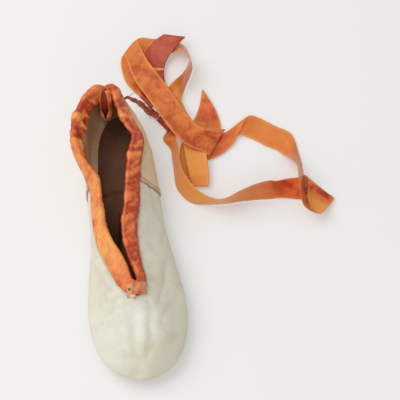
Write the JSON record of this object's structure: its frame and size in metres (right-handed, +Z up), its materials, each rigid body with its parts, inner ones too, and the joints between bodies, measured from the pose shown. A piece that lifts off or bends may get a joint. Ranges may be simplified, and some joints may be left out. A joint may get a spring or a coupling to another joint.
{
  "type": "ballet slipper",
  "caption": "Soft leather ballet slipper with a satin-bound drawstring collar and long satin ribbons gathered at the heel.",
  "frame": {"origin": "on the floor under the middle of the shoe, its ribbons left out", "axes": "+Z up, -Y towards the toe, +X to the right seen from above with the heel away from the viewer"},
  "size_m": [0.2049, 0.3115, 0.0573],
  "materials": {
    "sole_leather": "brushed suede, scuffed",
    "upper_leather": "soft aged off-white, satin",
    "insole_leather": "worn dark brown, matt",
    "binding_satin": "puckered satin, stained",
    "ribbon_satin": "smooth satin",
    "drawstring_cotton": "matt cotton cord"
  },
  "bodies": {
    "root": {"outsole": "sole_leather", "upper": "upper_leather", "insole": "insole_leather", "collar_binding": "binding_satin", "heel_gather": "binding_satin", "throat_tab": "binding_satin", "drawstring_knot": "drawstring_cotton", "ribbon_neck": "ribbon_satin", "ribbon_long": "ribbon_satin", "ribbon_short": "ribbon_satin"}
  },
  "joints": []
}
